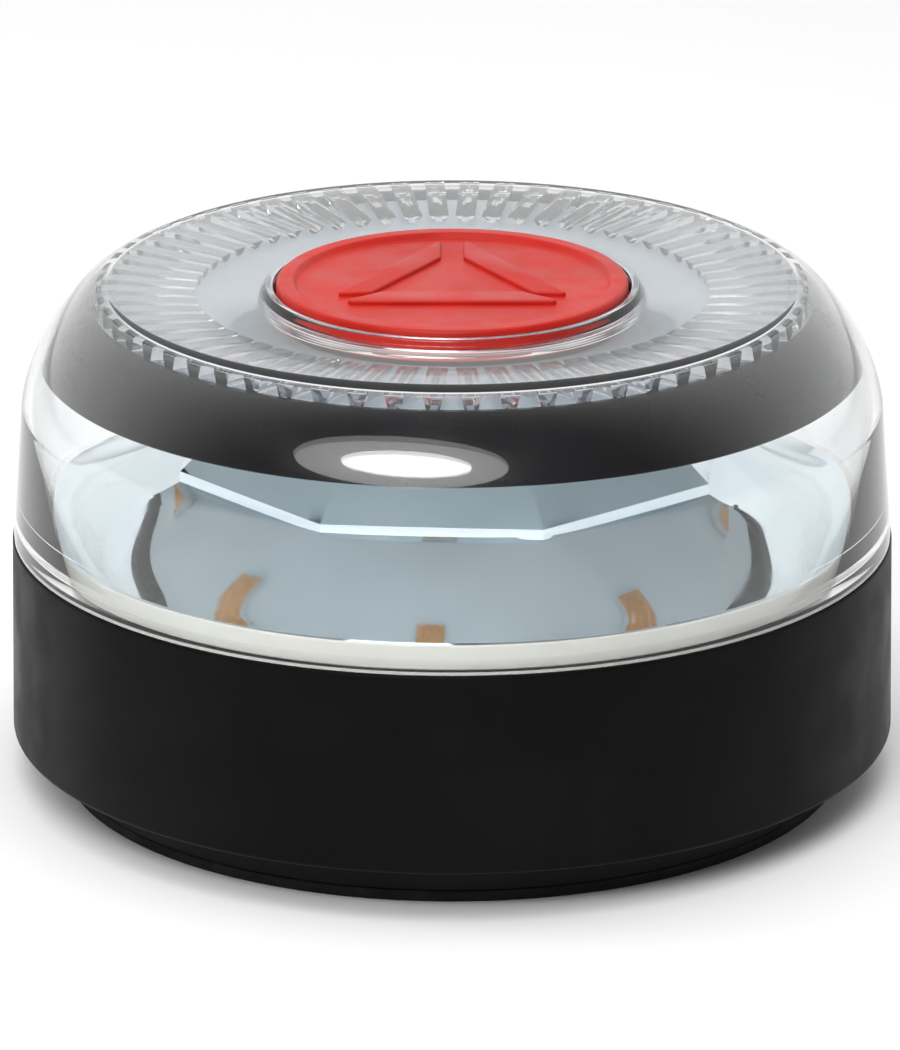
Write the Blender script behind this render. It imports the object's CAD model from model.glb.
"""A round LED warning beacon on a pale floor: black base, clear dome over a faceted mirror, red push button.

Outlines are [radius, height] points in millimetres about the beacon's axis. Objects are in metres.
"""

import math

import bmesh
import bpy
from mathutils import Matrix, Vector


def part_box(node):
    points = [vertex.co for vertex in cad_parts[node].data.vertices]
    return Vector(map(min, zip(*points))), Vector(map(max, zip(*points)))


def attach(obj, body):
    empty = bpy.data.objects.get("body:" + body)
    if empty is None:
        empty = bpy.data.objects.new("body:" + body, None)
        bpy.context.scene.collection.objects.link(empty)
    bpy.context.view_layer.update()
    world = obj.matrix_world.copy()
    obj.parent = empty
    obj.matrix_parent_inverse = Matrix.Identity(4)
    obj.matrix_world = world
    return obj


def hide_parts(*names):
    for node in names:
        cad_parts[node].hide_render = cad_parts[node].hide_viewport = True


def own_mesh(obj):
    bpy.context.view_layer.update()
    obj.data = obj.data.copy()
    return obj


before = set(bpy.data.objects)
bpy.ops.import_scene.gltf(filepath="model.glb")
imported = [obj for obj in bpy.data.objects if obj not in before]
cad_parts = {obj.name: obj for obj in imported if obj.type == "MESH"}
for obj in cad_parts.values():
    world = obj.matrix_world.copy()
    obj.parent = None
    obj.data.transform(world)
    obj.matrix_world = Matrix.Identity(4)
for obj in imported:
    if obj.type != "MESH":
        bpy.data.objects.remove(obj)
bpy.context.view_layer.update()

MM = 0.001
ROUND = 240  # segments of a large turned piece
ROUND_SMALL = 48  # segments of a screw, magnet or stud
SHARP = math.radians(32)  # edges that fold more than this stay crisp

# ---- Driving dimensions, in millimetres ----
DOME = {"foot": 41.65, "foot_inner": 40.2, "shoulder": 36.2, "wall_top": 40.75, "inner_top": 39.75,
        "flat": 32.5, "flat_inner": 32.4,
        "top": 48.4, "inside": 47.2, "roundness": 1.52, "centre_top": 47.1,
        "centre_inside": 45.9, "hole": 16.85, "collar": 17.9, "collar_top": 47.9}
RIB = {"count": 60, "inner": 24.2, "outer": 33.1, "root": 1.9, "tip": 1.0, "bottom": 45.7}
SHADE = {"bottom": 40.4, "top": 46.15, "gap": 0.2, "wall": 0.8}
MIRROR = {"facets": 8, "turn": -4.4, "rim": 39.3, "rim_bottom": 23.5, "rim_top": 26.0, "ledge": 24.8,
          "ledge_bottom": 30.9, "ledge_top": 32.1, "crown": 17.4, "crown_top": 39.2, "hole": 5.0, "skin": 1.0,
          "hollow": 0.3}
BAYONET = {"count": 3, "sweep": 24, "turn": 30}
BATTERY = {"left": -25.2, "length": 46.4, "width": 26.5, "height": 17.5, "bottom": 5.4}
MAGNET_RING = 27.0
REFLECTOR_SCREW_RING = 30.5
BOARD_SCREW_RING = 12.7
LED_RING = 31.0
LEAD_HOLE_X = 29.6
LEAD_RADIUS = 0.7
PLATE_INNER = 17.0
BUTTON = {"skirt": 16.6, "skirt_inner": 15.1, "flange": 18.3, "flange_top": 44.8,
          "rim": 16.45, "rim_inner": 15.0}
SPRING = {"radius": 9.6, "wire": 0.4, "turns": 3}
SWITCH = {"size": 12, "well": 42.6, "plunger": 3.4}


# ---- Where the CAD nodes are ----
def low(node):
    """A CAD node's lowest corner in millimetres."""
    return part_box(node)[0] / MM


def high(node):
    """A CAD node's highest corner in millimetres."""
    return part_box(node)[1] / MM


def middle(node):
    """The centre of a CAD node's box in millimetres."""
    return (low(node) + high(node)) / 2


# ---- Mesh helpers ----
def around(count, start=0.0):
    """Angles in degrees, evenly spaced round a turn."""
    return [start + 360 * i / count for i in range(count)]


def steps(count, start=0.0, end=1.0):
    return [start + (end - start) * i / count for i in range(count + 1)]


def rounded(outline, pieces=5):
    """A closed outline with its corners rounded. A corner is (radius, height) or (radius, height, fillet)."""
    points = []
    for i, corner in enumerate(outline):
        here = Vector(corner[:2])
        if len(corner) < 3:
            points.append(here)
            continue
        back = Vector(outline[i - 1][:2]) - here
        ahead = Vector(outline[(i + 1) % len(outline)][:2]) - here
        half = back.angle(ahead) / 2
        reach = min(corner[2] / math.tan(half), 0.49 * back.length, 0.49 * ahead.length)
        radius = reach * math.tan(half)
        centre = here + (back.normalized() + ahead.normalized()).normalized() * radius / math.sin(half)
        start = here + back.normalized() * reach - centre
        end = here + ahead.normalized() * reach - centre
        swing = start.angle(end)
        for t in steps(pieces):
            share = (math.sin((1 - t) * swing) * start + math.sin(t * swing) * end) / math.sin(swing)
            points.append(centre + share)
    return points


def skin(rings, closed=True):
    """A surface through rings of points, in millimetres. A ring of one point closes the surface there."""
    mesh = bmesh.new()
    made = [[mesh.verts.new(Vector(p) * MM) for p in ring] for ring in rings]
    last = len(made) if closed else len(made) - 1
    for i in range(last):
        here, above = made[i], made[(i + 1) % len(made)]
        count = max(len(here), len(above))
        if count == 1:
            continue
        for k in range(count):
            n = (k + 1) % count
            if len(here) == 1:
                mesh.faces.new((here[0], above[n], above[k]))
            elif len(above) == 1:
                mesh.faces.new((here[k], here[n], above[0]))
            else:
                mesh.faces.new((here[k], here[n], above[n], above[k]))
    bmesh.ops.recalc_face_normals(mesh, faces=mesh.faces)
    return mesh


def turned(outline, segments=ROUND):
    """A closed outline turned about Z."""
    rings = []
    for r, z in (p[:2] for p in outline):
        if r < 1e-6:
            rings.append([(0, 0, z)])
            continue
        turn = [math.radians(a) for a in around(segments)]
        rings.append([(r * math.cos(a), r * math.sin(a), z) for a in turn])
    return skin(rings)


def ring(inner, outer, bottom, top, fillet=0.15, segments=ROUND):
    outline = [(inner, bottom, fillet), (outer, bottom, fillet), (outer, top, fillet), (inner, top, fillet)]
    return turned(rounded(outline), segments)


def rod(radius, bottom, top, fillet=0.15, segments=ROUND_SMALL):
    return turned(rounded([(0, bottom), (radius, bottom, fillet), (radius, top, fillet), (0, top)]), segments)


def prism(outline, bottom, top):
    """A flat outline extruded upwards."""
    made = bmesh.new()
    lower = [made.verts.new((x * MM, y * MM, bottom * MM)) for x, y in outline]
    upper = [made.verts.new((x * MM, y * MM, top * MM)) for x, y in outline]
    made.faces.new(lower[::-1])
    made.faces.new(upper)
    for i in range(len(outline)):
        n = (i + 1) % len(outline)
        made.faces.new((lower[i], lower[n], upper[n], upper[i]))
    bmesh.ops.recalc_face_normals(made, faces=made.faces)
    return made


def block(width, depth, bottom, top, x=0.0, y=0.0):
    w, d = width / 2, depth / 2
    return prism([(x - w, y - d), (x + w, y - d), (x + w, y + d), (x - w, y + d)], bottom, top)


def sector(inner, outer, bottom, top, start, end):
    """A piece of a ring between two angles in degrees."""
    turn = [math.radians(a) for a in steps(24, start, end)]
    outline = [(outer * math.cos(a), outer * math.sin(a)) for a in turn]
    outline += [(inner * math.cos(a), inner * math.sin(a)) for a in reversed(turn)]
    return prism(outline, bottom, top)


def placed(mesh, x=0.0, y=0.0, z=0.0, turn=0.0):
    """The mesh turned about Z by degrees and moved by millimetres."""
    move = Matrix.Translation(Vector((x, y, z)) * MM) @ Matrix.Rotation(math.radians(turn), 4, "Z")
    mesh.transform(move)
    return mesh


def polar(mesh, radius, degrees):
    """The mesh moved out along +X and swung about Z."""
    mesh.transform(Matrix.Rotation(math.radians(degrees), 4, "Z") @ Matrix.Translation((radius * MM, 0, 0)))
    return mesh


def joined(meshes):
    """Separate bodies in one mesh."""
    whole = bmesh.new()
    for part in meshes:
        data = bpy.data.meshes.new("part")
        part.to_mesh(data)
        part.free()
        whole.from_mesh(data)
        bpy.data.meshes.remove(data)
    return whole


def as_object(name, mesh):
    data = bpy.data.meshes.new(name)
    mesh.to_mesh(data)
    mesh.free()
    made = bpy.data.objects.new(name, data)
    bpy.context.scene.collection.objects.link(made)
    return made


def carve(mesh, add=(), cut=()):
    """The mesh with each one in add joined and each one in cut taken away."""
    base = as_object("carve_base", mesh)
    tools = []
    for operation, group in (("UNION", add), ("DIFFERENCE", cut)):
        for other in group:
            tool = as_object("carve_tool", other)
            tools.append(tool)
            step = base.modifiers.new("step", "BOOLEAN")
            step.object = tool
            step.operation = operation
            step.solver = "EXACT"
    bpy.context.view_layer.update()
    result = bpy.data.meshes.new_from_object(base.evaluated_get(bpy.context.evaluated_depsgraph_get()))
    out = bmesh.new()
    out.from_mesh(result)
    bmesh.ops.remove_doubles(out, verts=out.verts, dist=0.002 * MM)
    bmesh.ops.dissolve_degenerate(out, edges=out.edges, dist=0.001 * MM)
    for used in [base, *tools]:
        bpy.data.objects.remove(used)
    return out


def bevelled(mesh, width, segments=3, angle=30.0):
    """The mesh with every edge that folds more than the angle bevelled."""
    mesh.normal_update()
    limit = math.radians(angle)
    edges = [e for e in mesh.edges if len(e.link_faces) == 2 and e.calc_face_angle() > limit]
    bmesh.ops.bevel(mesh, geom=edges, offset=width * MM, segments=segments, profile=0.5, affect="EDGES",
                    clamp_overlap=True)
    return mesh


def tube(points, radius, sides=16):
    """A tube of that radius through points in millimetres, with flat ends."""
    path = [Vector(p) for p in points]
    count = len(path)
    tangents = []
    for i in range(count):
        ahead = path[min(i + 1, count - 1)]
        back = path[max(i - 1, 0)]
        tangents.append((ahead - back).normalized())
    side = tangents[0].orthogonal().normalized()
    rings = []
    for point, tangent in zip(path, tangents):
        side = (side - tangent * side.dot(tangent)).normalized()
        other = tangent.cross(side)
        turn = [math.radians(a) for a in around(sides)]
        rings.append([point + radius * (math.cos(a) * side + math.sin(a) * other) for a in turn])
    rings = [[path[0]], *rings, [path[-1]]]
    return skin(rings, closed=False)


def smooth_path(points, pieces=12):
    """A Catmull-Rom curve through the points."""
    path = [Vector(p) for p in points]
    path = [2 * path[0] - path[1], *path, 2 * path[-1] - path[-2]]
    curve = []
    for a, b, c, d in zip(path, path[1:], path[2:], path[3:]):
        for t in steps(pieces)[:-1]:
            curve.append(0.5 * (2 * b + (c - a) * t + (2 * a - 5 * b + 4 * c - d) * t * t
                                + (3 * b - a - 3 * c + d) * t ** 3))
    return [*curve, path[-2]]


def piece(name, mesh, body, materials, replaces=(), sharp=SHARP):
    """Makes a shown piece of a mesh. Its materials are one, or one for each material index."""
    made = as_object(name, mesh)
    for material in materials if isinstance(materials, (list, tuple)) else [materials]:
        made.data.materials.append(material)
    made.data.polygons.foreach_set("use_smooth", [True] * len(made.data.polygons))
    made.data.set_sharp_from_angle(angle=sharp)
    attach(made, body)
    if replaces:
        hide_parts(*replaces)
    return made


# ---- Material helpers ----
class Nodes:
    """A material's node tree with a Principled shader, and short ways to add to it."""

    def __init__(self, name, color=(0.8, 0.8, 0.8), roughness=0.5, metallic=0.0, **values):
        self.material = bpy.data.materials.new(name)
        self.material.use_nodes = True
        self.tree = self.material.node_tree
        self.shader = self.tree.nodes["Principled BSDF"]
        self.output = self.tree.nodes["Material Output"]
        self.shader.inputs["Base Color"].default_value = (*color, 1)
        self.shader.inputs["Roughness"].default_value = roughness
        self.shader.inputs["Metallic"].default_value = metallic
        for label, value in values.items():
            self.shader.inputs[label.replace("_", " ")].default_value = value
        self.coordinates = self.add("ShaderNodeTexCoord").outputs["Object"]

    def add(self, kind, **settings):
        node = self.tree.nodes.new(kind)
        for key, value in settings.items():
            setattr(node, key, value)
        return node

    def link(self, source, target):
        self.tree.links.new(source, target)

    def noise(self, scale, detail=3.0, roughness=0.5, stretch=None):
        """Noise with that many features to a metre. stretch scales the coordinates along X, Y and Z."""
        node = self.add("ShaderNodeTexNoise")
        node.inputs["Scale"].default_value = scale
        node.inputs["Detail"].default_value = detail
        node.inputs["Roughness"].default_value = roughness
        source = self.coordinates
        if stretch:
            mapping = self.add("ShaderNodeMapping")
            mapping.inputs["Scale"].default_value = stretch
            self.link(source, mapping.inputs["Vector"])
            source = mapping.outputs["Vector"]
        self.link(source, node.inputs["Vector"])
        return node.outputs["Fac"]

    def ranged(self, source, low_in, high_in, low_out, high_out, smooth=True):
        node = self.add("ShaderNodeMapRange")
        node.interpolation_type = "SMOOTHSTEP" if smooth else "LINEAR"
        ends = {"From Min": low_in, "From Max": high_in, "To Min": low_out, "To Max": high_out}
        for label, value in ends.items():
            node.inputs[label].default_value = value
        self.link(source, node.inputs["Value"])
        return node.outputs["Result"]

    def math(self, operation, a, b=None):
        node = self.add("ShaderNodeMath", operation=operation)
        for socket, value in zip(node.inputs, (a, b)):
            if value is None:
                continue
            if isinstance(value, (int, float)):
                socket.default_value = value
            else:
                self.link(value, socket)
        return node.outputs["Value"]

    def mixed(self, factor, first, second):
        """One colour over another. Each is a colour or a socket."""
        node = self.add("ShaderNodeMix", data_type="RGBA")
        self.link(factor, node.inputs["Factor"])
        for socket, value in ((node.inputs[6], first), (node.inputs[7], second)):
            if isinstance(value, tuple):
                socket.default_value = (*value, 1)
            else:
                self.link(value, socket)
        return node.outputs[2]

    def clouded(self, scale, detail, ends, first, second):
        """Gives the shader a colour that drifts with a noise from the first to the second."""
        share = self.ranged(self.noise(scale, detail), *ends, 0, 1)
        self.set("Base Color", self.mixed(share, first, second))

    def bump(self, height, strength, distance):
        """Adds a bump over what the shader has. The distance is in millimetres."""
        node = self.add("ShaderNodeBump")
        node.inputs["Strength"].default_value = strength
        node.inputs["Distance"].default_value = distance * MM
        self.link(height, node.inputs["Height"])
        before = self.shader.inputs["Normal"]
        if before.is_linked:
            self.link(before.links[0].from_socket, node.inputs["Normal"])
        self.link(node.outputs["Normal"], before)

    def set(self, label, source):
        self.link(source, self.shader.inputs[label])


# ---- Materials ----
def moulded(name, color, lighter, roughness, grain=0.010, specular=0.5, scale=2600.0):
    """Moulded plastic: fine spark-eroded grain, faint cloudy gloss and a little dust-lightened colour."""
    n = Nodes(name, color, roughness, Specular_IOR_Level=specular)
    cloud = n.noise(90, 4)
    n.set("Base Color", n.mixed(n.ranged(cloud, 0.35, 0.75, 0, 1), color, lighter))
    n.set("Roughness", n.ranged(n.noise(160, 5), 0.3, 0.7, roughness - 0.05, roughness + 0.07))
    n.bump(n.noise(scale, 2, 0.6), 0.5, grain)
    return n.material


def rubber():
    """Matt foot rubber, with a coarse grain and worn lighter patches."""
    n = Nodes("foot_rubber", (0.009, 0.009, 0.009), 0.8, Specular_IOR_Level=0.25)
    worn = n.ranged(n.noise(220, 6, 0.65), 0.5, 0.75, 0, 1)
    n.set("Base Color", n.mixed(worn, (0.008, 0.008, 0.008), (0.022, 0.022, 0.021)))
    n.set("Roughness", n.ranged(n.noise(300, 4), 0.3, 0.7, 0.7, 0.92))
    n.bump(n.noise(1500, 4, 0.65), 0.7, 0.05)
    return n.material


def clear(name, color, roughness):
    """Clear moulded plastic. Lamps shine through it, and its surface is a little wavy."""
    n = Nodes(name, color, roughness, IOR=1.49, Transmission_Weight=1.0)
    n.bump(n.noise(35, 1), 0.05, 0.25)
    passing = n.add("ShaderNodeBsdfTransparent")
    passing.inputs["Color"].default_value = (0.93, 0.945, 0.95, 1)
    mix = n.add("ShaderNodeMixShader")
    n.link(n.add("ShaderNodeLightPath").outputs["Is Shadow Ray"], mix.inputs[0])
    n.link(n.shader.outputs[0], mix.inputs[1])
    n.link(passing.outputs[0], mix.inputs[2])
    n.link(mix.outputs[0], n.output.inputs["Surface"])
    return n.material


def mirror():
    """Vacuum-metallised plastic: a blue-grey mirror with a slight haze."""
    n = Nodes("mirror_coat", (0.62, 0.70, 0.75), 0.06, 1.0)
    n.clouded(60, 3, (0.3, 0.7), (0.72, 0.82, 0.88), (0.78, 0.87, 0.91))
    n.set("Roughness", n.ranged(n.noise(240, 5), 0.35, 0.75, 0.035, 0.11))
    return n.material


def silver_paint():
    n = Nodes("silver_paint", (0.36, 0.40, 0.44), 0.42, 0.3)
    n.clouded(5000, 2, (0.3, 0.7), (0.33, 0.37, 0.41), (0.40, 0.44, 0.48))
    n.set("Roughness", n.ranged(n.noise(200, 4), 0.3, 0.7, 0.32, 0.44))
    n.bump(n.noise(4200, 2), 0.25, 0.006)
    return n.material


def red_button():
    """Soft-touch red plastic, a little translucent."""
    n = Nodes("button_red", (0.50, 0.014, 0.008), 0.36, Specular_IOR_Level=0.3, Subsurface_Weight=0.04,
              Subsurface_Scale=0.3 * MM)
    n.shader.inputs["Subsurface Radius"].default_value = (1.0, 0.25, 0.12)
    n.clouded(130, 4, (0.3, 0.7), (0.46, 0.012, 0.006), (0.54, 0.018, 0.010))
    n.set("Roughness", n.ranged(n.noise(260, 5), 0.3, 0.7, 0.36, 0.50))
    n.bump(n.noise(3000, 3, 0.6), 0.45, 0.012)
    return n.material


def metal(name, color, roughness, stretch=(1, 1, 12)):
    """Plated or brushed metal, with fine lines along the stretched axes."""
    n = Nodes(name, color, roughness, 1.0)
    lines = n.noise(900, 3, 0.6, stretch)
    n.set("Roughness", n.ranged(lines, 0.3, 0.7, roughness * 0.8, roughness * 1.3))
    dull = tuple(0.82 * c for c in color)
    n.set("Base Color", n.mixed(n.ranged(n.noise(300, 4), 0.45, 0.75, 0, 1), color, dull))
    n.bump(lines, 0.3, 0.006)
    return n.material


def solder_mask():
    """White solder mask, faintly cloudy, over a fine glass weave."""
    n = Nodes("solder_mask", (0.80, 0.82, 0.81), 0.42)
    n.clouded(150, 3, (0.3, 0.7), (0.86, 0.88, 0.88), (0.90, 0.92, 0.92))
    n.set("Roughness", n.ranged(n.noise(400, 4), 0.3, 0.7, 0.35, 0.5))
    n.bump(n.noise(2400, 2), 0.3, 0.01)
    return n.material


def battery_label():
    """A printed battery sleeve: dark body, one copper-coloured end, and a thin seam line between them."""
    n = Nodes("battery_label", (0.02, 0.025, 0.03), 0.32, Coat_Weight=0.3)
    split = n.add("ShaderNodeSeparateXYZ")
    n.link(n.coordinates, split.inputs[0])
    x = n.math("MULTIPLY", split.outputs["X"], 1 / MM)
    cap = n.ranged(x, 7.9, 8.0, 0, 1, smooth=False)
    line = n.ranged(n.math("ABSOLUTE", n.math("SUBTRACT", x, 7.2)), 0.25, 0.3, 1, 0, smooth=False)
    body = n.mixed(line, (0.018, 0.022, 0.028), (0.55, 0.56, 0.58))
    n.set("Base Color", n.mixed(cap, body, (0.62, 0.31, 0.12)))
    n.set("Roughness", n.ranged(n.noise(260, 4), 0.3, 0.7, 0.26, 0.4))
    n.bump(n.noise(500, 3), 0.2, 0.02)
    return n.material


def amber_phosphor():
    n = Nodes("amber_phosphor", (0.86, 0.34, 0.05), 0.25, Coat_Weight=0.6)
    n.clouded(2600, 3, (0.35, 0.7), (0.80, 0.27, 0.035), (0.92, 0.42, 0.08))
    n.bump(n.noise(1800, 2), 0.15, 0.02)
    return n.material


def insulation(name, color):
    n = Nodes(name, color, 0.36)
    n.set("Roughness", n.ranged(n.noise(500, 4), 0.3, 0.7, 0.3, 0.46))
    n.bump(n.noise(800, 2, 0.5, (1, 1, 0.3)), 0.25, 0.03)
    return n.material


BLACK = moulded("housing_black", (0.0038, 0.0035, 0.0038), (0.0055, 0.0051, 0.0055), 0.42, specular=0.06)
COVER_BLACK = moulded("cover_black", (0.0045, 0.0044, 0.0046), (0.008, 0.008, 0.008), 0.5, 0.02, 0.14, 1800)
GLOSS_BLACK = moulded("shade_black", (0.006, 0.0052, 0.0062), (0.008, 0.007, 0.0085), 0.22, 0.002, 0.3, 900)
DARK = moulded("dark_plastic", (0.016, 0.016, 0.017), (0.03, 0.03, 0.03), 0.45, 0.02, 0.4)
CHIP = moulded("chip_epoxy", (0.018, 0.018, 0.02), (0.028, 0.028, 0.03), 0.42, 0.015, 0.5, 5000)
FERRITE = moulded("ferrite", (0.05, 0.05, 0.052), (0.075, 0.074, 0.072), 0.6, 0.03, 0.4, 3200)
WHITE_PLASTIC = moulded("white_plastic", (0.72, 0.72, 0.70), (0.78, 0.78, 0.76), 0.4, 0.01)
PLUNGER_RED = moulded("plunger_red", (0.52, 0.04, 0.03), (0.6, 0.06, 0.04), 0.45)
RUBBER = rubber()
CLEAR = clear("clear_plastic", (0.975, 0.985, 0.988), 0.0)
RIB_CLEAR = clear("rib_plastic", (0.70, 0.70, 0.72), 0.04)
MIRROR_COAT = mirror()
RIM_COAT = moulded("rim_coat", (0.66, 0.65, 0.60), (0.72, 0.71, 0.66), 0.35, 0.006, 0.5)
SILVER = silver_paint()
RED = red_button()
STEEL = metal("zinc_steel", (0.58, 0.59, 0.60), 0.28)
NICKEL = metal("nickel_plate", (0.64, 0.63, 0.61), 0.18, (1, 1, 1))
SPRING_WIRE = metal("spring_wire", (0.55, 0.56, 0.58), 0.22, (1, 1, 1))
MASK = solder_mask()
LABEL = battery_label()
PHOSPHOR = amber_phosphor()
RED_WIRE = insulation("red_wire", (0.42, 0.018, 0.016))
BLACK_WIRE = insulation("black_wire", (0.012, 0.012, 0.012))


# ---- Base ----
def housing():
    """The black housing: a drafted outer wall, a groove for the dome, a deck and a bay for the battery."""
    bottom, top = low("base_housing").z, low("clear_dome").z + 1.8
    lip_top, lip = 6.5, 34.0
    wall, groove = 40.0, 40.45
    shell = turned(rounded([
        (lip, bottom, 0.2), (42.0, bottom, 0.5), (41.75, top, 0.25), (groove, top, 0.15), (groove, 20.9),
        (38.6, 20.9), (38.6, 23.3, 0.3), (20, 23.3), (20, 21.6), (37, 21.6, 0.4), (37, 19.4, 0.3),
        (wall, 19.4, 0.8), (wall, lip_top, 0.5), (lip, lip_top, 0.2),
    ]))
    room, wall_skin, lead_space = 0.4, 1.1, 11.2
    length = BATTERY["length"] + lead_space + room
    width = BATTERY["width"] + 2 * room
    x = BATTERY["left"] - room + length / 2
    roof = high("battery_case").z + room
    tray = bevelled(block(length + 2 * wall_skin, width + 2 * wall_skin, 9.2, roof + wall_skin, x), 0.5)
    bay = block(length, width, 9, roof, x)
    lead_hole = placed(rod(2.4, 20, 26, 0.01), LEAD_HOLE_X)
    reach = BAYONET["sweep"] / 2
    slots, stops = [], []
    for a in around(BAYONET["count"]):
        centre = a - BAYONET["turn"]
        slots.append(sector(lip - 1, 35.9, bottom - 1, lip_top + 0.5, centre - reach - 2, centre + reach + 2))
        shut, opened = a + reach + 1, centre - reach - 2
        stops.append(sector(lip + 0.2, 36.6, lip_top - 0.3, 8.5, shut, shut + 4))
        stops.append(sector(lip + 0.2, 36.6, lip_top - 0.3, 8.5, opened - 4, opened))
    screws = [polar(rod(1.5, 20, 25, 0.01), REFLECTOR_SCREW_RING, a) for a in around(3, 60)]
    body = carve(shell, [tray, *stops], [bay, lead_hole, *slots, *screws])
    return piece("housing", body, "beacon_body", BLACK, ["base_housing"])


def cover():
    """The bayonet cover with its lugs, magnet cups, seal groove and coin slot."""
    hub, foot, rim, spigot = 20.0, 37.35, 37.9, 33.7
    dish = turned(rounded([
        (0, 0.5), (hub, 0.5, 0.5), (hub, 1.3), (foot, 1.3), (rim, 4.3, 0.25), (37.2, 4.3), (37.2, 3.0),
        (36.0, 3.0), (36.0, 4.3), (spigot, 4.3), (spigot, 9.0, 0.3), (spigot - 1.4, 9.0, 0.3),
        (spigot - 1.4, 2.8, 0.4), (0, 2.8),
    ]))
    reach = BAYONET["sweep"] / 2
    lugs = [bevelled(sector(spigot - 0.5, 35.5, 6.7, 8.5, a - reach, a + reach), 0.2) for a in around(3)]
    cups = [polar(rod(5.8, 2, 4.9, 0.2), MAGNET_RING, a) for a in around(4, 45)]
    pockets = [polar(rod(5.15, 0, 4.3, 0.02), MAGNET_RING, a) for a in around(4, 45)]
    coin = bevelled(block(22, 2.4, -1, 1.9), 0.25)
    body = carve(dish, [*lugs, *cups], [*pockets, coin])
    return piece("cover", body, "battery_cover", COVER_BLACK, ["battery_cover"])


def foot():
    """The rubber foot: a flat ring with shallow round grooves in its face."""
    inner, outer, top = 20.4, high("foot_pad").x, high("foot_pad").z
    grooves = []
    for r in (24, 27.5, 31, 34.5):
        grooves += [(r - 0.5, 0, 0.1), (r - 0.3, 0.3, 0.1), (r + 0.3, 0.3, 0.1), (r + 0.5, 0, 0.1)]
    outline = [(inner, 0, 0.2), *grooves, (outer - 0.2, 0, 0.35), (outer, top, 0.15), (inner, top, 0.15)]
    return piece("foot", turned(rounded(outline, 3)), "battery_cover", RUBBER, ["foot_pad"])


def seal(name, node, inner, outer, body):
    bottom, top = low(node).z, high(node).z
    made = ring(inner, outer, bottom, top, 0.3)
    return piece(name, made, body, RUBBER, [node])


def magnets():
    """Nickel-plated discs with chamfered edges."""
    for i, a in enumerate(around(4, 45), 1):
        node = f"magnet_{i}"
        disc = polar(rod(5.0, low(node).z, high(node).z, 0.3), MAGNET_RING, a)
        piece(f"disc_magnet_{i}", disc, "battery_cover", NICKEL, [node])


# ---- Battery and leads ----
def battery():
    """A 9 V block battery: a sleeve with rounded long edges and crimped ends."""
    b = BATTERY
    width, height = b["width"] / 2, b["height"] / 2
    middle_z = b["bottom"] + height

    def section(x, inset):
        corner, points = 1.8, []
        for centre_y, centre_z, start in ((1, 1, 0), (-1, 1, 90), (-1, -1, 180), (1, -1, 270)):
            y, z = centre_y * (width - corner - inset), centre_z * (height - corner - inset)
            for a in steps(8, start, start + 90):
                turn = math.radians(a)
                points.append((x, y + corner * math.cos(turn), middle_z + z + corner * math.sin(turn)))
        return points

    left, right = b["left"], b["left"] + b["length"]
    rings = [[(left + 0.5, 0, middle_z)], section(left + 0.5, 1.3), section(left, 1.0), section(left, 0.4),
             section(left + 0.4, 0.0)]
    rings += [section(x, 0.0) for x in steps(10, left + 1, right - 1)]
    rings += [section(right - 0.4, 0.0), section(right, 0.4), section(right, 1.0), section(right - 0.5, 1.3),
              [(right - 0.5, 0, middle_z)]]
    piece("battery", skin(rings, closed=False), "beacon_body", LABEL, ["battery_case"])


def studs():
    """The battery's two snap studs: a plain round one, and a crown of six petals."""
    for pole in ("positive", "negative"):
        node, name = f"battery_terminal_{pole}", f"stud_{pole}"
        centre, size = middle(node), high(node) - low(node)
        length, radius = size.x, size.z / 2
        if pole == "positive":
            outline = [(0, 0), (radius, 0, 0.2), (radius, 0.5, 0.2), (radius - 0.35, 1.1, 0.2),
                       (radius - 0.1, length - 0.2, 0.4), (radius - 1, length, 0.2), (0, length)]
            shape = turned(rounded(outline), ROUND_SMALL)
        else:
            outline = [(0, 0), (radius, 0, 0.15), (radius, length, 0.2), (radius - 0.5, length, 0.2),
                       (radius - 0.5, 0.6, 0.2), (0, 0.6)]
            cup = turned(rounded(outline), ROUND_SMALL)
            gaps = [placed(block(2 * radius + 2, 0.5, 0.9, length + 1), turn=a) for a in (0, 60, 120)]
            shape = carve(cup, cut=gaps)
        shape.transform(Matrix.Rotation(math.radians(90), 4, "Y"))
        placed(shape, low(node).x, centre.y, centre.z)
        piece(name, shape, "beacon_body", STEEL, [node])


def snap_connector():
    a, b = low("snap_connector"), high("snap_connector")
    size = b - a
    plate = block(size.z, size.y, 0, size.x)
    bevelled(plate, 0.35)
    plate.transform(Matrix.Rotation(math.radians(90), 4, "Y"))
    placed(plate, a.x, middle("snap_connector").y, middle("snap_connector").z)
    piece("connector", plate, "beacon_body", DARK, ["snap_connector"])


def leads():
    """Two thin wires from the snap connector, up through the deck and the mirror, to the board."""
    middle_z = BATTERY["bottom"] + BATTERY["height"] / 2
    start = high("snap_connector").x + 0.3
    end_z = low("led_board").z - 0.3
    for node, side, material in (("lead_red", 1, RED_WIRE), ("lead_black", -1, BLACK_WIRE)):
        route = [(start, side * 4.6, middle_z), (start + 2.2, side * 4, middle_z + 0.6),
                 (start + 4.4, side * 2, middle_z + 3.4), (LEAD_HOLE_X + 0.2, side * 1.1, 20.2),
                 (LEAD_HOLE_X, side * 1.1, 24),
                 (26.4, side * 1.1, 26.6), (20, side * 1.4, 28.6), (9, side * 1.6, 31),
                 (3.4, side * 1.6, 34.6), (2.4, side * 1.6, 38), (2.4, side * 1.6, end_z)]
        piece(node + "_wire", tube(smooth_path(route), LEAD_RADIUS), "beacon_body", material, [node])


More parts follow.
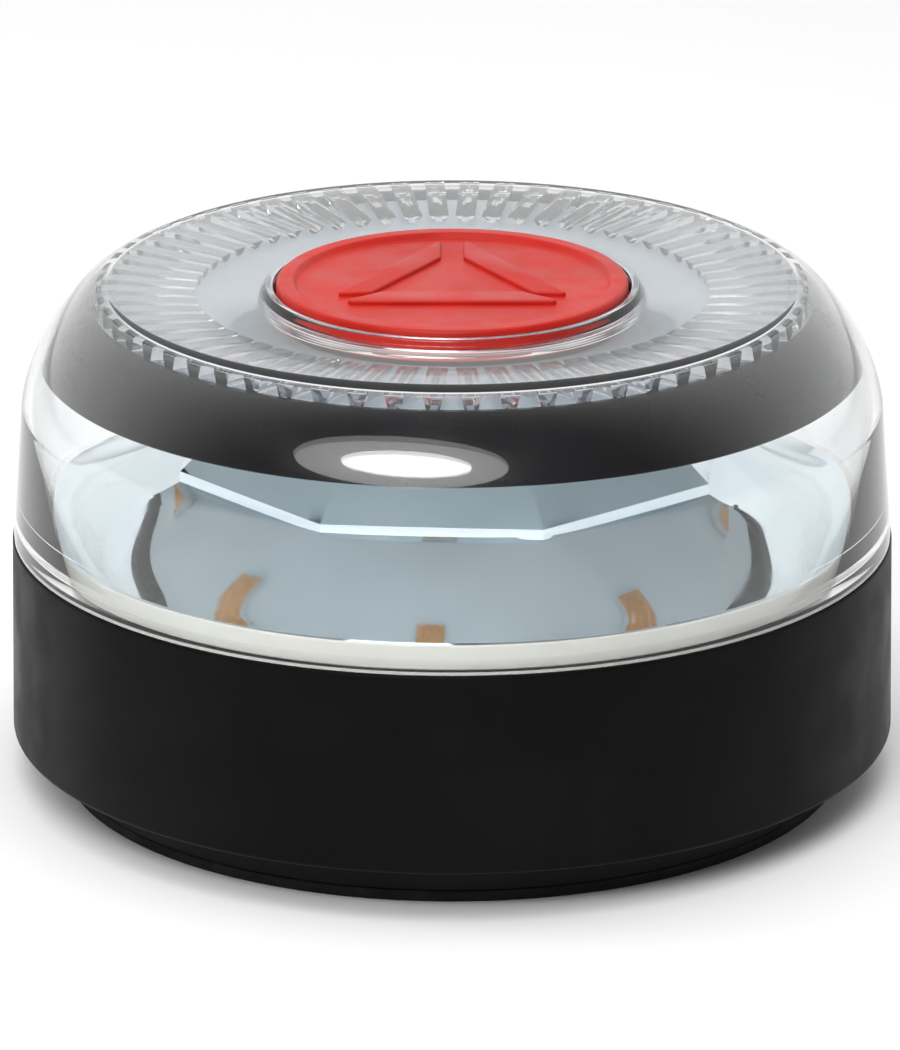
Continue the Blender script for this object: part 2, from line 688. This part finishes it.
# ---- Mirror ----
def facet_ring(size, roundness, height, circle, per_facet=24):
    """Points round an octagon of that apothem at roundness 0, or a circle of the circle's radius at 1.

    The height is a function of how far a point is from its facet's middle, from 0 there to 1 on the ridge.
    """
    sweep = 360 / MIRROR["facets"]
    points = []
    for a in around(MIRROR["facets"] * per_facet):
        off = a % sweep - sweep / 2
        r = size / math.cos(math.radians(off)) * (1 - roundness) + circle * roundness
        turn = math.radians(a + MIRROR["turn"] - 90 - sweep / 2)
        z = height(abs(off) / (sweep / 2)) if callable(height) else height
        points.append((r * math.cos(turn), r * math.sin(turn), z))
    return points


def mirror_body():
    """Two tiers of eight facets. The lower flares into a round rim, and the upper ends in a flat top."""
    m = MIRROR
    rise = m["ledge_bottom"] - m["rim_top"]
    upper = m["ledge_top"] + 0.1

    def flare(out, inset):
        def height(aside):
            return m["rim_top"] - inset + rise * (1 - out) ** (1 + m["hollow"] * aside ** 2)

        return facet_ring(m["ledge"] - inset, out, height, m["rim"] - inset)

    def crown(up, inset):
        size = m["ledge"] - 0.3 - inset - (m["ledge"] - 0.3 - m["crown"]) * up
        return facet_ring(size, 0, upper - inset + (m["crown_top"] - upper) * up, size)

    def circle(radius, height):
        return facet_ring(radius, 1, height, radius)

    outside = [circle(m["rim"] - 0.15, m["rim_bottom"]), circle(m["rim"], m["rim_bottom"] + 0.15),
               circle(m["rim"], m["rim_top"] - 0.25), circle(m["rim"] - 0.07, m["rim_top"] - 0.07)]
    outside += [flare(out, 0) for out in steps(24, 0.985, 0)]
    outside += [facet_ring(m["ledge"], 0, m["ledge_bottom"] + 0.2, m["ledge"]),
                facet_ring(m["ledge"] - 0.05, 0, m["ledge_top"] - 0.15, m["ledge"])]
    outside += [crown(up, 0) for up in steps(4)]
    outside += [facet_ring(m["crown"] - 0.4, 0, m["crown_top"], m["crown"]),
                circle(m["hole"], m["crown_top"])]
    inset = m["skin"]
    inside = [circle(m["hole"], m["crown_top"] - inset)]
    inside += [crown(up, inset) for up in steps(8, 1, 0)] + [flare(out, inset) for out in steps(12)]
    inside += [circle(m["rim"] - inset, m["rim_bottom"])]
    shell = skin(outside + inside)
    feet = [polar(ring(0.9, 2.6, m["rim_bottom"], 27.6, 0.1, ROUND_SMALL), REFLECTOR_SCREW_RING, a)
            for a in around(3, 60)]
    posts = [polar(rod(2.8, 37, low("led_board").z - 0.1, 0.15), BOARD_SCREW_RING, a) for a in around(3, 30)]
    pilots = [polar(rod(0.9, 36, 42, 0.01), BOARD_SCREW_RING, a) for a in around(3, 30)]
    body = carve(shell, [*feet, *posts], pilots)
    for face in body.faces:
        centre = face.calc_center_median()
        face.material_index = int(math.hypot(centre.x, centre.y) > (m["rim"] - 0.12) * MM)
    materials = [MIRROR_COAT, RIM_COAT]
    return piece("mirror", body, "beacon_body", materials, ["reflector"], math.radians(9))


def screw(head, head_height, shank, length):
    """A pan-head screw with a cross recess and a threaded shank, head up, with the seat at height 0."""
    pitch, depth = 0.6, 0.18
    threads = []
    z = -0.3
    while z > -length + 1.0:
        threads += [(shank, z), (shank, z - 0.25 * pitch), (shank - depth, z - 0.5 * pitch),
                    (shank - depth, z - 0.7 * pitch)]
        z -= pitch
    outline = [(0, -length), (shank * 0.35, -length), (shank - depth, -length + 0.8), *reversed(threads),
               (shank, 0), (head, 0, 0.1), (head, head_height * 0.45, 0.3), (head * 0.72, head_height, 0.4),
               (0, head_height)]
    body = turned(rounded(outline), ROUND_SMALL)
    arms = [placed(block(head * 1.15, 0.5, head_height * 0.4, head_height + 1), turn=a) for a in (0, 90)]
    return carve(body, cut=arms)


def screws():
    for i, a in enumerate(around(3, 60), 1):
        node = f"reflector_screw_{i}"
        head_top = low(node).z + 1.5
        fixing = screw(2.3, 1.5, 0.85, high(node).z - head_top)
        fixing.transform(Matrix.Rotation(math.pi, 4, "X"))
        polar(placed(fixing, z=head_top), REFLECTOR_SCREW_RING, a)
        piece(f"foot_screw_{i}", fixing, "beacon_body", STEEL, [node])
    for i, a in enumerate(around(3, 30), 1):
        node = f"board_screw_{i}"
        seat = high("led_board").z + 0.1
        fixing = polar(placed(screw(1.9, 1.3, 0.85, seat - low(node).z), z=seat), BOARD_SCREW_RING, a)
        piece(f"pcb_screw_{i}", fixing, "beacon_body", STEEL, [node])


# ---- Board and LEDs ----
def board():
    bottom, top = low("led_board").z, high("led_board").z
    holes = [polar(rod(1.2, bottom - 1, top + 1, 0.01), BOARD_SCREW_RING, a) for a in around(3, 30)]
    made = carve(rod(36.0, bottom, top, 0.12, ROUND), cut=holes)
    piece("board", made, "beacon_body", MASK, ["led_board"])


def leds():
    """Surface-mounted LEDs, face down: a white package, an amber lens and two solder pads each."""
    for i, a in enumerate(around(MIRROR["facets"], MIRROR["turn"] - 90), 1):
        node = f"led_{i}"
        bottom, top = low(node).z, high(node).z
        seat, size, lens = bottom + 0.25, 3.4, 1.35
        package = bevelled(block(size, size, seat, top), 0.12)
        dome = turned(rounded([(0, bottom), (lens * 0.7, bottom, 0.4), (lens, seat + 0.05), (lens, top - 0.3),
                               (0, top - 0.3)]), 32)
        whole = carve(package, [dome])
        limit = (seat + 0.02) * MM
        for face in whole.faces:
            centre = face.calc_center_median()
            near = math.hypot(centre.x, centre.y) < lens * MM * 1.02
            face.material_index = 1 if centre.z < limit and near else 0
        polar(whole, LED_RING, a)
        piece(f"amber_led_{i}", whole, "beacon_body", [WHITE_PLASTIC, PHOSPHOR], [node])


def components():
    """What stands on the board: the driver chip with its legs, an inductor and a capacitor."""
    seat = high("led_board").z + 0.1
    centre = middle("control_chip")
    top = high("control_chip").z
    body = bevelled(block(5, 2.6, seat + 0.15, top, centre.x, centre.y), 0.12)
    legs = []
    for k in range(4):
        for side in (-1, 1):
            x = centre.x - 1.8 + 1.2 * k
            legs.append(block(0.4, 0.7, seat, seat + 0.5, x, centre.y + side * 1.6))
    chip = carve(body, legs)
    piece("driver_chip", chip, "beacon_body", CHIP, ["control_chip"])
    centre = middle("inductor")
    coil_body = bevelled(block(5, 5, seat, high("inductor").z, centre.x, centre.y), 0.5)
    piece("power_inductor", coil_body, "beacon_body", FERRITE, ["inductor"])
    centre, top = middle("capacitor"), high("capacitor").z
    can = turned(rounded([(0, seat), (2.1, seat, 0.1), (2.1, seat + 0.3, 0.1), (1.95, seat + 0.4, 0.05),
                          (2.05, top, 0.25), (0, top)]), ROUND_SMALL)
    piece("capacitor_can", placed(can, centre.x, centre.y), "beacon_body", NICKEL, ["capacitor"])


# ---- Dome, shade ring and top plate ----
def shoulder(wall, flat, top, count=40):
    """A shoulder's points from a wall, at the dome's shoulder height, up and in to a flat top."""
    power = 2 / DOME["roundness"]
    start = DOME["shoulder"]
    points = []
    for a in steps(count, 0, math.pi / 2):
        across, up = max(0.0, math.cos(a)) ** power, math.sin(a) ** power
        points.append((flat + (wall - flat) * across, start + (top - start) * up))
    return points


DOME_OUTSIDE = shoulder(DOME["wall_top"], DOME["flat"], DOME["top"])
DOME_INSIDE = shoulder(DOME["inner_top"], DOME["flat_inner"], DOME["inside"])


def underside(radius):
    """The height of the underside of the dome's top, which rises outwards."""
    run = (radius - DOME["collar"]) / (DOME["flat_inner"] - DOME["collar"])
    return DOME["centre_inside"] + (DOME["inside"] - DOME["centre_inside"]) * min(1.0, run)


def dome_rib():
    """One rib along +X: a bar with rounded lower edges, close under the dome's top."""
    root, tip, bottom, edge = RIB["root"] / 2, RIB["tip"] / 2, RIB["bottom"], 0.25
    close = 0.02
    rings = []
    for r in steps(4, RIB["inner"], RIB["outer"]):
        top = min(underside(r), underside(RIB["outer"] - 0.9)) - close
        rings.append([(r, -root, top), (r, -tip - 0.1, bottom + edge), (r, -tip + 0.15, bottom),
                      (r, tip - 0.15, bottom), (r, tip + 0.1, bottom + edge), (r, root, top)])
    ends = [[(r, 0, bottom + 0.5)] for r in (RIB["inner"], RIB["outer"])]
    return skin([ends[0], *rings, ends[1]], closed=False)


def dome():
    """The clear dome. Sixty radial ribs stand down from the underside of its top."""
    d = DOME
    bottom = low("clear_dome").z
    foot_bottom, foot_radius, foot_inner = bottom + 1.9, d["foot"], d["foot_inner"]
    corners = [
        (foot_inner, bottom, 0.1), (foot_inner, foot_bottom), (foot_radius, foot_bottom, 0.12), *DOME_OUTSIDE,
        (d["collar"], d["centre_top"], 0.3), (d["collar"] - 0.2, d["collar_top"], 0.3),
        (d["hole"], d["collar_top"], 0.25), (d["hole"], d["centre_inside"], 0.1),
        (d["collar"], d["centre_inside"], 0.5),
        *reversed(DOME_INSIDE), (foot_inner - 0.4, foot_bottom), (foot_inner - 1.1, bottom, 0.1),
    ]
    ribs = [placed(dome_rib(), turn=a) for a in around(RIB["count"], 180 / RIB["count"])]
    for rib in ribs:
        for face in rib.faces:
            face.material_index = 1
    whole = joined([turned(rounded(corners)), *ribs])
    piece("dome", whole, "beacon_body", [CLEAR, RIB_CLEAR], ["clear_dome"])


def shade():
    """The glossy black ring under the dome's shoulder, which hides the LEDs."""
    s = SHADE

    def radius_at(height):
        for (r0, z0), (r1, z1) in zip(DOME_INSIDE, DOME_INSIDE[1:]):
            if z0 <= height <= z1:
                return r0 + (r1 - r0) * (height - z0) / (z1 - z0)
        return DOME_INSIDE[-1][0]

    face = [(radius_at(z) - s["gap"], z) for z in steps(24, s["bottom"] + 0.15, s["top"] - 0.1)]
    back = [(r - s["wall"], z) for r, z in reversed(face)]
    foot_edge = [(back[-1][0] + 0.15, s["bottom"]), (face[0][0] - 0.15, s["bottom"])]
    top_edge = [(face[-1][0] - 0.15, s["top"]), (back[0][0] + 0.1, s["top"])]
    outline = [*foot_edge, *face, *top_edge, *back]
    piece("shade", turned(outline), "beacon_body", GLOSS_BLACK, ["shade_ring"])


def top_plate():
    """The silver plate under the dome's top."""
    plate = ring(PLATE_INNER, high("top_plate").x, low("top_plate").z, high("top_plate").z)
    piece("plate", plate, "beacon_body", SILVER, ["top_plate"])


# ---- Button and switch ----
def button():
    """The red cap: a raised rim round a sunk face, on which three bars make a warning triangle."""
    b, top = BUTTON, high("button_cap").z
    face, under, skirt = top - 0.55, top - 1.8, low("button_cap").z
    cap = turned(rounded([
        (0, under), (b["skirt_inner"], under, 0.3), (b["skirt_inner"], skirt, 0.1), (b["flange"], skirt, 0.2),
        (b["flange"], b["flange_top"], 0.2), (b["skirt"], b["flange_top"], 0.15), (b["skirt"], face, 0.3),
        (b["rim"], top, 0.35), (b["rim_inner"], top, 0.3), (b["rim_inner"] - 0.4, face, 0.25), (0, face),
    ]))
    stem = rod(4, high("switch_plunger").z + 0.05, under + 0.3, 0.1)
    bottom_bar = [(-9.5, -6.7), (9.5, -6.7), (9.8, -6.2), (6.6, -3.6), (-6.6, -3.6), (-9.8, -6.2)]
    right_bar = [(10.7, -3.9), (10.4, -4.1), (7.6, -3.8), (1.1, 7.6), (1.1, 12.3), (1.5, 12.5)]
    left_bar = [(-x, y) for x, y in reversed(right_bar)]
    bars = [bevelled(prism(bar, face - 0.3, face + 0.42), 0.16) for bar in (bottom_bar, right_bar, left_bar)]
    piece("button", carve(cap, [stem, *bars]), "push_button", RED, ["button_cap"])


def spring():
    """The return spring under the button. It shortens as the button goes down."""
    radius, wire, turns = SPRING["radius"], SPRING["wire"], SPRING["turns"]
    bottom = high("led_board").z + 0.1 + wire
    top = high("button_spring").z - wire
    points = []
    for t in steps(turns * 48):
        turn = 2 * math.pi * turns * t
        points.append((radius * math.cos(turn), radius * math.sin(turn), bottom + (top - bottom) * t))
    coil = tube(points, wire, 12)
    made = piece("return_spring", coil, "beacon_body", SPRING_WIRE, ["button_spring"])
    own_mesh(made)


def switch():
    """The tactile switch: a square body with a round well, four feet, and the plunger in the well."""
    bottom, top = low("switch_body").z, high("switch_body").z
    body = bevelled(block(SWITCH["size"], SWITCH["size"], bottom, top), 0.35)
    well = rod(SWITCH["plunger"] + 0.2, SWITCH["well"], top + 1, 0.05)
    rivets = []
    for x in (-4.6, 4.6):
        for y in (-4.6, 4.6):
            rivets.append(placed(rod(0.6, top - 0.4, top + 0.15, 0.1, 24), x, y))
    piece("switch_case", carve(body, rivets, [well]), "beacon_body", DARK, ["switch_body"])
    stem = rod(SWITCH["plunger"], low("switch_plunger").z, high("switch_plunger").z, 0.25)
    piece("plunger", stem, "switch_plunger", PLUNGER_RED, ["switch_plunger"])


# ---- Floor, lights and camera ----
def floor():
    n = Nodes("floor_paper", (0.90, 0.90, 0.90), 0.85, Specular_IOR_Level=0.1)
    n.clouded(12, 4, (0.3, 0.7), (0.895, 0.895, 0.895), (0.905, 0.905, 0.905))
    half = 4.0
    mesh = bmesh.new()
    corners = [mesh.verts.new((x * half, y * half, 0)) for x, y in ((-1, -1), (1, -1), (1, 1), (-1, 1))]
    mesh.faces.new(corners)
    made = as_object("floor", mesh)
    made.data.materials.append(n.material)


def studio_world():
    """White behind and to the left, and dim in front, so that the black front stays black."""
    world = bpy.data.worlds.new("studio")
    bpy.context.scene.world = world
    world.use_nodes = True
    tree = world.node_tree
    background = tree.nodes["Background"]
    coordinates = tree.nodes.new("ShaderNodeTexCoord")
    split = tree.nodes.new("ShaderNodeSeparateXYZ")
    tree.links.new(coordinates.outputs["Generated"], split.inputs[0])
    depth = tree.nodes.new("ShaderNodeMapRange")
    depth.interpolation_type = "SMOOTHSTEP"
    for label, value in (("From Min", -0.5), ("From Max", 0.5), ("To Min", 0.10), ("To Max", 1.0)):
        depth.inputs[label].default_value = value
    tree.links.new(split.outputs["Y"], depth.inputs["Value"])
    tree.links.new(depth.outputs["Result"], background.inputs["Strength"])
    background.inputs["Color"].default_value = (1.0, 1.0, 1.0, 1)


def softbox(name, azimuth, elevation, distance, width, height, power, in_reflections=True):
    """An area light aimed at the beacon. Azimuth 0 is the front, and 90 the right."""
    light = bpy.data.lights.new(name, "AREA")
    light.shape = "ELLIPSE"
    light.size, light.size_y = width, height
    light.energy = power
    lamp = bpy.data.objects.new(name, light)
    bpy.context.scene.collection.objects.link(lamp)
    a, e = math.radians(azimuth), math.radians(elevation)
    away = Vector((math.sin(a) * math.cos(e), -math.cos(a) * math.cos(e), math.sin(e)))
    lamp.location = away * distance
    lamp.rotation_euler = away.to_track_quat("Z", "Y").to_euler()
    lamp.visible_glossy = in_reflections
    lamp.visible_transmission = in_reflections
    return lamp


def camera():
    """A long lens from the front, a little above."""
    data = bpy.data.cameras.new("camera")
    data.lens = 272.4
    data.sensor_width = 36.0
    data.shift_x, data.shift_y = -0.0021, 0.0071
    data.clip_start, data.clip_end = 0.05, 50
    made = bpy.data.objects.new("camera", data)
    bpy.context.scene.collection.objects.link(made)
    aim, distance, elevation = Vector((0, 0, 23.1 * MM)), 0.756, math.radians(18.95)
    back = Vector((0, -math.cos(elevation), math.sin(elevation)))
    made.location = aim + back * distance
    made.rotation_euler = back.to_track_quat("Z", "Y").to_euler()
    bpy.context.scene.camera = made


camera()
floor()
studio_world()
softbox("key", -14, 42, 0.75, 0.40, 0.16, 1.5)
softbox("key_halo", -16, 43, 0.80, 0.74, 0.36, 1.6)
softbox("overhead", 10, 80, 0.9, 0.9, 0.9, 4.0, in_reflections=False)
softbox("left_strip", -100, 20, 0.7, 0.25, 0.6, 1.2, in_reflections=False)
bpy.context.scene.view_settings.view_transform = "Standard"

housing()
cover()
foot()
seal("cover_gasket", "cover_seal", 36.1, 37.1, "battery_cover")
seal("dome_gasket", "dome_seal", 38.9, 40.1, "beacon_body")
magnets()
battery()
studs()
snap_connector()
leads()
mirror_body()
screws()
board()
leds()
components()
dome()
shade()
top_plate()
button()
spring()
switch()
